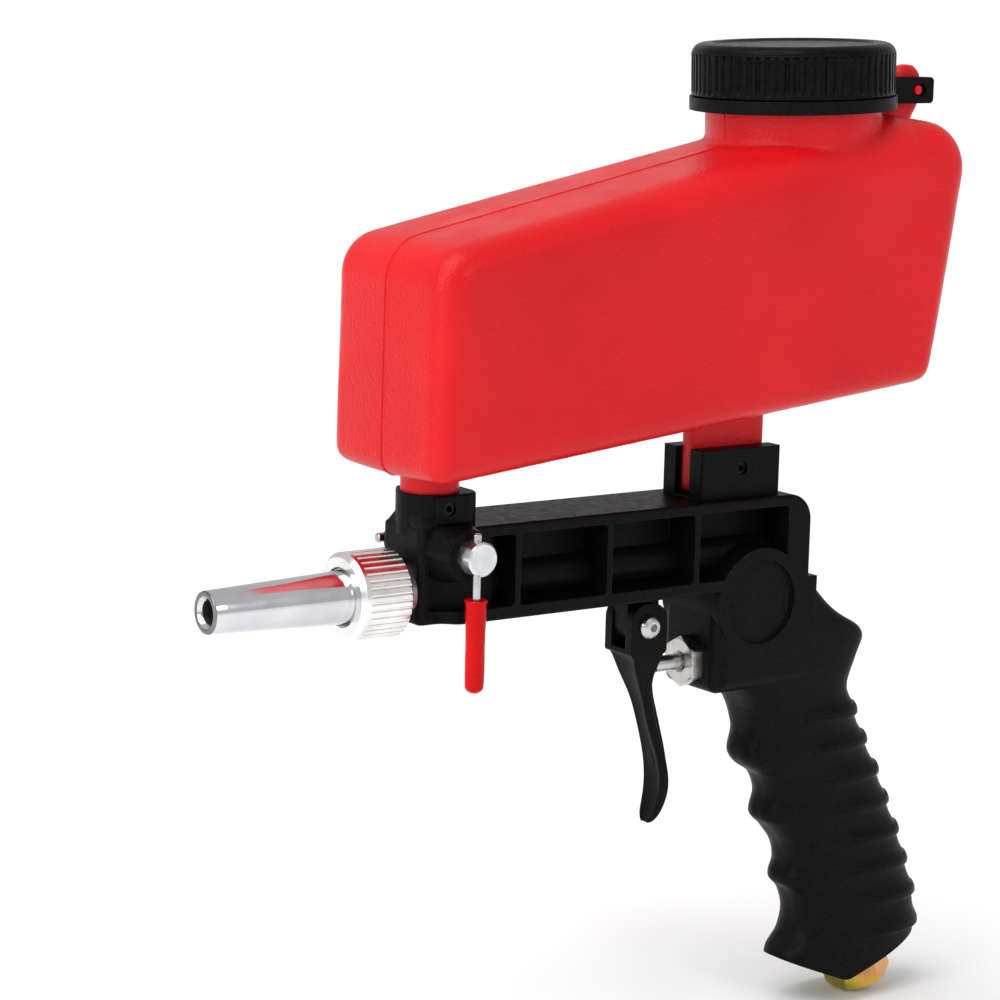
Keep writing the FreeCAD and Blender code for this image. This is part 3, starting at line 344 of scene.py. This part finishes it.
def satin_metal(name, dark, light, low, high):
    """Turned or satin metal with fine marks; low and high are its roughness."""
    finish = Surface(name, light, (low + high) / 2, 1.0)
    finish.colors(finish.noise(120, 3), [(0.3, dark), (0.7, light)])
    finish.roughness(finish.noise(300, 3), low, high)
    finish.bump(finish.noise(1400, 2), 0.02, 0.35)
    return finish.material


def yellow_zinc():
    finish = Surface("yellow_zinc", (0.70, 0.52, 0.22), 0.24, 1.0)
    finish.colors(finish.noise(70, 2), [
        (0.30, (0.30, 0.40, 0.08)), (0.44, (0.66, 0.46, 0.08)),
        (0.56, (0.72, 0.34, 0.10)), (0.70, (0.40, 0.22, 0.20))])
    finish.roughness(finish.noise(180, 3), 0.16, 0.34)
    finish.bump(finish.noise(700, 2), 0.03, 0.4)
    return finish.material


def red_vinyl():
    finish = Surface("red_vinyl", (0.52, 0.001, 0.002), 0.24)
    finish.shader.inputs["Specular IOR Level"].default_value = 0.12
    finish.colors(finish.noise(90, 2), [(0.3, (0.48, 0.001, 0.001)), (0.7, (0.56, 0.002, 0.002))])
    finish.roughness(finish.noise(160, 3), 0.18, 0.32)
    finish.bump(finish.noise(300, 2), 0.05, 0.3)
    return finish.material


def rubber(name, dark, light):
    finish = Surface(name, dark, 0.75)
    finish.colors(finish.noise(500, 3), [(0.3, dark), (0.7, light)])
    finish.roughness(finish.noise(400, 3), 0.65, 0.85)
    finish.bump(finish.noise(1800, 3), 0.06, 0.5)
    return finish.material


def paint(piece, material):
    """Give a piece one material on all of its faces."""
    piece.data.materials.clear()
    piece.data.materials.append(material)


# ---------------------------------------------------------------- hopper

def outline_points():
    """Samples round the hopper's side outline: point, outward normal and side-edge radius."""
    samples = []
    count = len(HOPPER_OUTLINE)
    corners = [Vector((c[0], c[1])) for c in HOPPER_OUTLINE]
    ends = []
    for index in range(count):
        here = corners[index]
        back = (corners[index - 1] - here).normalized()
        ahead = (corners[(index + 1) % count] - here).normalized()
        half = back.angle(ahead) / 2
        rho = HOPPER_OUTLINE[index][2]
        centre = here + (back + ahead).normalized() * rho / math.sin(half)
        reach = rho / math.tan(half)
        ends.append((here + back * reach, here + ahead * reach, centre, rho))
    for index in range(count):
        start, end, centre, rho = ends[index]
        edge_here = HOPPER_OUTLINE[index][3]
        edge_next = HOPPER_OUTLINE[(index + 1) % count][3]
        a = start - centre
        b = end - centre
        turn = math.atan2(a.x * b.y - a.y * b.x, a.dot(b))
        for step in range(10):
            angle = turn * step / 10
            normal = Vector((a.x * math.cos(angle) - a.y * math.sin(angle),
                             a.x * math.sin(angle) + a.y * math.cos(angle))) / rho
            samples.append((centre + normal * rho, normal, edge_here))
        following = ends[(index + 1) % count][0]
        run = following - end
        normal = (end - centre) / rho
        steps = max(int(run.length / 3), 2)
        for step in range(steps):
            t = step / steps
            edge = edge_here + (edge_next - edge_here) * t * t * (3 - 2 * t)
            samples.append((end + run * t, normal, edge))
    return samples


def half_width(z):
    """Half the bin's width at a height, drawn in towards the floor."""
    share = (DRAFT_TOP_Z - z) / (DRAFT_TOP_Z - DRAFT_BOTTOM_Z)
    return HOPPER_HALF - HOPPER_DRAFT * min(max(share, 0), 1)


def hopper_rings(bm, samples):
    """Rings of vertices from one flat side of the bin, over its edge and face, to the other."""
    rings = []
    spine_a = Vector((95.0, 70.0))
    spine_b = Vector((222.0, 96.0))
    spine = spine_b - spine_a
    for side in (-1, 1):
        part = []
        for level in range(9):
            t = level / 8
            dish = HOPPER_DISH * (1 - t * t) ** 2
            row = []
            for point, normal, edge in samples:
                rim = point - normal * edge
                share = min(max((rim - spine_a).dot(spine) / spine.length_squared, 0), 1)
                foot = spine_a + spine * share
                place = foot + (rim - foot) * t
                row.append(bm.verts.new((place.x, side * (half_width(place.y) - dish), place.y)))
            part.append(row)
        for level in range(8):
            angle = math.radians(90 - 90 * (level + 1) / 8)
            row = []
            for point, normal, edge in samples:
                place = point - normal * edge * (1 - math.cos(angle))
                y = half_width(place.y) - edge * (1 - math.sin(angle))
                row.append(bm.verts.new((place.x, side * y, place.y)))
            part.append(row)
        rings += part if side < 0 else list(reversed(part))
        if side < 0:
            rings += crown_rings(bm, samples)
    return rings


def crown_rings(bm, samples):
    """Rings across the bin's face, standing out a little in the middle."""
    rings = []
    for step in range(1, 8):
        t = -1 + 2 * step / 8
        row = []
        for point, normal, edge in samples:
            place = point + normal * HOPPER_CROWN * (1 - t * t)
            row.append(bm.verts.new((place.x, t * (half_width(place.y) - edge), place.y)))
        rings.append(row)
    return rings


def hopper_bin(samples):
    """The bin on its own, closed."""
    bm = bmesh.new()
    grid_faces(bm, hopper_rings(bm, samples), False)
    return mesh_object("bin_form", bm)


def hopper_extras():
    """Neck, spigot, tongue and hinge lug, each a closed form that runs into the bin."""
    bm = bmesh.new()
    lathe(bm, [(0, -18), (NECK_R, -18), (NECK_R, 11.6), (NECK_THREAD_R, 12.0),
               (NECK_THREAD_R, 23.4), (NECK_THREAD_R - 0.6, 24.0), (0, 24.0)], neck_place(), 96)
    spigot = Matrix.Translation((SPIGOT_X, 0, 0))
    lathe(bm, [(0, SPIGOT_LOW_Z), (SPIGOT_R, SPIGOT_LOW_Z), (SPIGOT_R, SPIGOT_HIGH_Z),
               (0, SPIGOT_HIGH_Z)], spigot, 64)
    box_form(bm, (TONGUE_FRONT_X, -TONGUE_HALF, TONGUE_LOW_Z),
             (TONGUE_REAR_X, TONGUE_HALF, TONGUE_HIGH_Z), 0.5)
    hinge_lug(bm)
    return mesh_object("extras_form", bm)


def hinge_lug(bm):
    """Upright lug behind the neck with a round top, standing on a web."""
    outline = [(241.0, 128.0), (241.0, 136.0), (246.4, 140.0), (246.4, 146.0)]
    for step in range(9):
        angle = math.radians(180 - 180 * step / 8)
        outline.append((HINGE_X - 0.2 + 5.3 * math.cos(angle), 147.0 + 4.6 * math.sin(angle)))
    outline += [(256.6, 139.4), (250.0, 128.0)]
    left = [bm.verts.new((x, -2.5, z)) for x, z in outline]
    right = [bm.verts.new((x, 2.5, z)) for x, z in outline]
    bm.faces.new(left)
    bm.faces.new(list(reversed(right)))
    grid_faces(bm, [left, right], False)


def hopper_cutters():
    """The neck's open inside, down into the bin, and the ways of the two lock screws."""
    bm = bmesh.new()
    lathe(bm, [(0, -48), (NECK_BORE_R, -48), (NECK_BORE_R, 40), (0, 40)], neck_place(), 96)
    for name in ("collar_screw", "bracket_screw"):
        low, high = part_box(name)
        middle = (low + high) / 2 / MM
        radius = (high.z - low.z) / MM / 2 + 0.15
        reach = (high.y - low.y) / MM / 2 + 0.3
        place = Matrix.Translation(middle) @ Matrix.Rotation(math.pi / 2, 4, "X")
        lathe(bm, [(0, -reach), (radius, -reach), (radius, reach), (0, reach)], place, 32)
    return mesh_object("cutter_form", bm)


def seam_bead(samples):
    """The parting line: a fine bead round the bin's middle, left out under the neck."""
    bm = bmesh.new()
    keep = []
    for point, normal, edge in samples:
        under_neck = normal.y > 0.7 and NECK_X - 25.0 < point.x < NECK_X + 25.0
        keep.append(None if under_neck else point + normal * (HOPPER_CROWN - 0.05))
    start = next(i for i in range(len(keep)) if keep[i - 1] is None and keep[i] is not None)
    ordered = keep[start:] + keep[:start]
    path = [p for p in ordered if p is not None]
    rows = []
    for index, point in enumerate(path):
        before = path[max(index - 1, 0)]
        after = path[min(index + 1, len(path) - 1)]
        along = (after - before).normalized()
        out = Vector((-along.y, along.x))
        radius = 0.32 + 0.05 * math.sin(index * 1.7) * math.sin(index * 0.31)
        row = []
        for step in range(6):
            angle = 2 * math.pi * step / 6
            offset = out * radius * math.cos(angle)
            row.append(bm.verts.new((point.x + offset.x, radius * math.sin(angle),
                                     point.y + offset.y)))
        rows.append(row)
    grid_faces(bm, rows, False)
    bm.faces.new(rows[0])
    bm.faces.new(list(reversed(rows[-1])))
    neck_seam(bm)
    return mesh_object("seam_form", bm)


def neck_seam(bm):
    """Parting line up the front of the neck, with a scrap of flash at its foot."""
    place = neck_place()
    rows = []
    for step in range(15):
        height = -17.0 + 24.5 * step / 14
        flash = 0.55 * math.exp(-((height + 11.5) / 2.6) ** 2)
        reach = NECK_R - 0.05 + flash
        radius = 0.24 + flash * 0.5
        row = []
        for corner in range(6):
            angle = 2 * math.pi * corner / 6
            row.append(bm.verts.new(place @ Vector((
                -reach - radius * math.cos(angle), radius * math.sin(angle), height))))
        rows.append(row)
    grid_faces(bm, rows, False)
    bm.faces.new(rows[0])
    bm.faces.new(list(reversed(rows[-1])))


def build_hopper():
    """The blow-moulded hopper: forms joined, remeshed into one skin and relaxed."""
    samples = outline_points()
    piece = hopper_bin(samples)
    extras = hopper_extras()
    cutters = hopper_cutters()
    bpy.ops.object.select_all(action="DESELECT")
    piece.select_set(True)
    extras.select_set(True)
    bpy.context.view_layer.objects.active = piece
    bpy.ops.object.join()
    remesh = piece.modifiers.new("skin", "REMESH")
    remesh.mode = "VOXEL"
    remesh.voxel_size = HOPPER_VOXEL * MM
    smooth = piece.modifiers.new("relax", "SMOOTH")
    smooth.factor = 0.5
    smooth.iterations = 8
    cut = piece.modifiers.new("openings", "BOOLEAN")
    cut.operation = "DIFFERENCE"
    cut.object = cutters
    apply_modifiers(piece)
    bpy.data.objects.remove(cutters)
    seam = seam_bead(samples)
    piece.select_set(True)
    seam.select_set(True)
    bpy.context.view_layer.objects.active = piece
    bpy.ops.object.join()
    piece.name = "hopper_skin"
    for face in piece.data.polygons:
        face.use_smooth = True
    return piece


# ---------------------------------------------------------------- other pieces

def rib_depth(angle, radius, along):
    """How far the cap's side is cut in between its ribs, in uneven groups."""
    if radius < CAP_R - 0.5:
        return 0.0
    turn = angle / (2 * math.pi) * CAP_RIBS
    number = int(turn)
    share = turn - number
    wide = 0.20 + 0.13 * ((number * 7) % 5) / 4
    depth = 0.55 + 0.45 * ((number * 3) % 4) / 3
    distance = abs(share - 0.5)
    if distance > wide:
        return 0.0
    ends = min(max((along - CAP_LOW - 1.4) / 0.8, 0), 1) * min(max((CAP_TOP - 3.6 - along) / 1.2, 0), 1)
    return -depth * ends * (1 - (distance / wide) ** 4)


def build_cap():
    """Screw cap with uneven ribs, a round shoulder and a shallow dished top."""
    bm = bmesh.new()
    profile = [(CAP_BORE_R, CAP_ROOF), (CAP_BORE_R, CAP_LOW + 0.4), (CAP_BORE_R + 0.4, CAP_LOW)]
    profile += [(CAP_R - 0.3, CAP_LOW), (CAP_R, CAP_LOW + 0.3)]
    for step in range(12):
        profile.append((CAP_R, CAP_LOW + 1.2 + step * 1.08))
    profile += arc_points(CAP_R - 3.6, CAP_TOP - 3.6, 3.6, 8, 90, 9)
    profile += [(25.6, CAP_TOP), (25.0, CAP_TOP - 0.15), (24.4, CAP_TOP - 0.6), (18, CAP_TOP - 0.75)]
    profile += [(8, CAP_TOP - 0.8), (0, CAP_TOP - 0.8), (0, CAP_ROOF), (CAP_BORE_R - 0.4, CAP_ROOF)]
    lathe(bm, profile, neck_place(), CAP_RIBS * 10, rib_depth)
    return mesh_object("ribbed_cap", bm)


def build_nozzle():
    """Bright tapered nozzle with a countersunk mouth and a rear flange."""
    low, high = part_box("nozzle")
    length = (high.x - low.x) / MM
    profile = [(COUNTERSINK_R, 0.15), (COUNTERSINK_R + 0.2, 0.0), (5.7, 0.0), (6.05, 0.12), (6.2, 0.5)]
    for step in range(1, 13):
        t = step / 12
        profile.append((6.22 + 1.68 * t, 0.5 + 46.3 * t))
    profile += [(9.4, 46.9), (9.65, 47.2), (9.65, length - 0.3), (9.4, length)]
    profile += [(6.0, length), (NOZZLE_BORE_R, 36.0), (NOZZLE_BORE_R, 12.0), (NOZZLE_BORE_R, 1.5)]
    profile += [(3.5, 1.2), (4.0, 0.7)]
    bm = bmesh.new()
    lathe(bm, profile, along_x(0), 128)
    return mesh_object("turned_nozzle", bm)


def grey_face_and_painted_shade_bore(piece):
    """Grey machined end face, and painted shade: a near-black bore behind a bright countersink."""
    piece.data.materials.append(nozzle_mouth())
    piece.data.materials.append(painted_shade_bore())
    for face in piece.data.polygons:
        radius = math.hypot(face.center.y, face.center.z) / MM
        if face.center.x < MOUTH_FACE_DEPTH * MM and radius > COUNTERSINK_R:
            face.material_index = 1
        # painted shade: faces inside the bore get the near-black colour
        elif radius < NOZZLE_BORE_R + 0.1:
            face.material_index = 2


def build_sleeve():
    """Dipped vinyl sleeve: slightly wavy, flared at its mouth and round at its tip."""
    tip = SLEEVE_BOTTOM_Z + SLEEVE_R * 0.75
    profile = [(0, SLEEVE_BOTTOM_Z)]
    for step in range(1, 9):
        angle = math.radians(90 * step / 8)
        profile.append((SLEEVE_R * 0.93 * math.sin(angle), tip - SLEEVE_R * 0.75 * math.cos(angle)))
    for step in range(1, 13):
        t = step / 12
        wave = 0.06 * math.sin(9 * t)
        profile.append((SLEEVE_R * (0.93 + 0.07 * t) + wave, tip + (SLEEVE_TOP_Z - 1.2 - tip) * t))
    profile += [(3.35, SLEEVE_TOP_Z - 0.3), (3.4, SLEEVE_TOP_Z - 0.05), (3.1, SLEEVE_TOP_Z)]
    profile += [(2.0, SLEEVE_TOP_Z - 0.1), (ROD_R + 0.04, SLEEVE_TOP_Z - 0.8)]
    profile += [(ROD_R + 0.04, -24.7), (0, -24.7)]
    bm = bmesh.new()
    lathe(bm, profile, Matrix.Translation((VALVE_X, ROD_Y, 0)), 48)
    return mesh_object("dipped_sleeve", bm)


def ridge_path(body, z):
    """Points and outward directions round the back half of the grip at a height."""
    to_local = body.matrix_world.inverted()
    centre_x = GRIP_MIDDLE_X + (RIDGE_TOP_Z - z) * GRIP_LEAN
    points = []
    for step in range(-44, 45):
        angle = math.radians(2.0 * step)
        inward = Vector((-math.cos(angle), -math.sin(angle), 0))
        start = Vector((centre_x, 0, z)) - inward * 80
        hit, place, normal, face = body.ray_cast(to_local @ (start * MM), inward)
        if hit:
            outward = Vector((normal.x, normal.y, 0)).normalized()
            points.append((body.matrix_world @ place / MM, outward))
    return points


def build_grip_ridges(body):
    """Sharp-edged bars along the crests of the ridges on the grip's sides and back."""
    bm = bmesh.new()
    for number in range(RIDGE_COUNT):
        path = ridge_path(body, RIDGE_TOP_Z - RIDGE_PITCH * number)
        rows = []
        for index, (place, outward) in enumerate(path):
            ends = min(index, len(path) - 1 - index) / RIDGE_END_STEPS
            sunk = RIDGE_END_SINK * (1 - min(ends, 1.0)) ** 2
            row = []
            for above, out in RIDGE_SECTION:
                point = place + outward * (out - sunk)
                row.append(bm.verts.new((point.x, point.y, point.z + above)))
            rows.append(row)
        grid_faces(bm, rows, False)
        bm.faces.new(rows[0])
        bm.faces.new(list(reversed(rows[-1])))
    return mesh_object("grip_ridges", bm)


def dress_cad_nodes(nodes):
    """Materials of the CAD nodes whose shape is kept."""
    nylon = black_nylon()
    turned_steel = satin_metal("turned_steel", (0.34, 0.34, 0.35), (0.55, 0.55, 0.56), 0.16, 0.3)
    stainless = satin_metal("stainless", (0.48, 0.48, 0.49), (0.66, 0.66, 0.67), 0.18, 0.34)
    nickel = satin_metal("satin_nickel", (0.78, 0.77, 0.76), (0.92, 0.91, 0.90), 0.14, 0.26)
    oxide = satin_metal("black_oxide", (0.012, 0.012, 0.013), (0.03, 0.03, 0.03), 0.3, 0.45)
    alloy = satin_metal("turned_aluminium", (0.58, 0.59, 0.61), (0.78, 0.79, 0.81), 0.2, 0.38)
    grey_zinc = satin_metal("grey_zinc", (0.44, 0.42, 0.41), (0.62, 0.60, 0.58), 0.22, 0.4)
    brass = satin_metal("turned_brass", (0.58, 0.40, 0.14), (0.78, 0.60, 0.26), 0.16, 0.3)
    seal = rubber("black_rubber", (0.010, 0.010, 0.010), (0.025, 0.025, 0.025))
    foam = rubber("grey_foam", (0.20, 0.20, 0.20), (0.34, 0.34, 0.34))
    choice = {
        "pistol_body": nylon, "trigger": nylon, "cap_ring": nylon,
        "nozzle_nut": nickel, "nozzle_holder": turned_steel, "lever_rod": turned_steel,
        "retaining_pin": turned_steel, "valve_pin": stainless, "pivot_screw": stainless,
        "pivot_nut": stainless, "valve_spring": stainless, "collar_screw": oxide,
        "bracket_screw": oxide, "flow_shaft": alloy, "gland_nut": grey_zinc,
        "air_jet": brass, "valve_seat": brass, "inlet_fitting": yellow_zinc(),
        "nozzle_seal": seal, "shaft_seals": seal, "gland_seal": seal, "poppet_seal": seal,
        "cap_gasket": foam}
    for name, material in choice.items():
        paint(nodes[name], material)


# ---------------------------------------------------------------- stage

def light(name, place, target, size, power):
    """A square soft light aimed at a target, in millimetres and watts."""
    data = bpy.data.lights.new(name, "AREA")
    data.energy = power
    data.size = size * MM
    lamp = bpy.data.objects.new(name, data)
    bpy.context.scene.collection.objects.link(lamp)
    lamp.location = Vector(place) * MM
    aim = Vector(target) * MM - lamp.location
    lamp.rotation_euler = aim.to_track_quat("-Z", "Y").to_euler()


def build_stage(low_z):
    """Pale floor, soft studio lights and a bright even surround."""
    bm = bmesh.new()
    bmesh.ops.create_grid(bm, x_segments=2, y_segments=2, size=40000)
    floor = mesh_object("floor", bm)
    floor.location.z = low_z - 0.0005
    surface = Surface("pale_floor", (0.94, 0.94, 0.94), 0.6)
    surface.roughness(surface.noise(3, 2), 0.55, 0.7)
    paint(floor, surface.material)
    world = bpy.data.worlds.new("studio")
    world.use_nodes = True
    world.node_tree.nodes["Background"].inputs["Color"].default_value = (1, 1, 1, 1)
    world.node_tree.nodes["Background"].inputs["Strength"].default_value = 0.62
    bpy.context.scene.world = world
    bpy.context.scene.view_settings.view_transform = "Standard"
    sun = bpy.data.objects.new("high_sun", bpy.data.lights.new("high_sun", "SUN"))
    sun.data.energy = 2.0
    sun.data.angle = math.radians(50)
    sun.rotation_euler = Vector((0.48, 0.06, -0.87)).to_track_quat("-Z", "Y").to_euler()
    bpy.context.scene.collection.objects.link(sun)
    middle = (140, 0, 40)
    light("key_left", (-760, -120, 330), middle, 420, 2.2)
    light("side_fill", (250, -900, 500), middle, 300, 1.2)


def build_camera():
    """Camera at the photograph's viewing angle."""
    data = bpy.data.cameras.new("view")
    data.lens = CAMERA_LENS
    data.sensor_width = 36.0
    data.clip_start = 0.05
    data.clip_end = 100
    camera = bpy.data.objects.new("view", data)
    bpy.context.scene.collection.objects.link(camera)
    back = -Vector(CAMERA_FORWARD).normalized()
    right = Vector(CAMERA_UP).cross(back).normalized()
    up = back.cross(right)
    turn = Matrix((right, up, back)).transposed().to_4x4()
    camera.matrix_world = Matrix.Translation(Vector(CAMERA_PLACE) * MM) @ turn
    bpy.context.scene.camera = camera


# ---------------------------------------------------------------- build

def plain_box(bounds):
    """A pair of corners as plain lists of numbers."""
    return [[float(v) for v in corner] for corner in bounds]


def place_piece(piece, node, body, material):
    """Put a finished piece in for its CAD node."""
    paint(piece, material)
    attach(piece, body)
    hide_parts(node)


def main():
    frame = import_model()
    cad_bounds = plain_box(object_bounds())
    nodes = frame["nodes"]
    red = red_polyethylene()
    dress_cad_nodes(nodes)
    paint(nodes["hinge_pin"], red)
    ridges = build_grip_ridges(nodes["pistol_body"])
    paint(ridges, nodes["pistol_body"].data.materials[0])
    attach(ridges, "gun")
    place_piece(build_hopper(), "hopper", "gun", red)
    place_piece(build_cap(), "cap", "cap", black_cap_plastic())
    turned_nozzle = build_nozzle()
    place_piece(turned_nozzle, "nozzle", "nozzle", bright_plate())
    grey_face_and_painted_shade_bore(turned_nozzle)
    place_piece(build_sleeve(), "lever_sleeve", "flow_valve", red_vinyl())
    build_stage(cad_bounds[0][2])
    build_camera()


main()
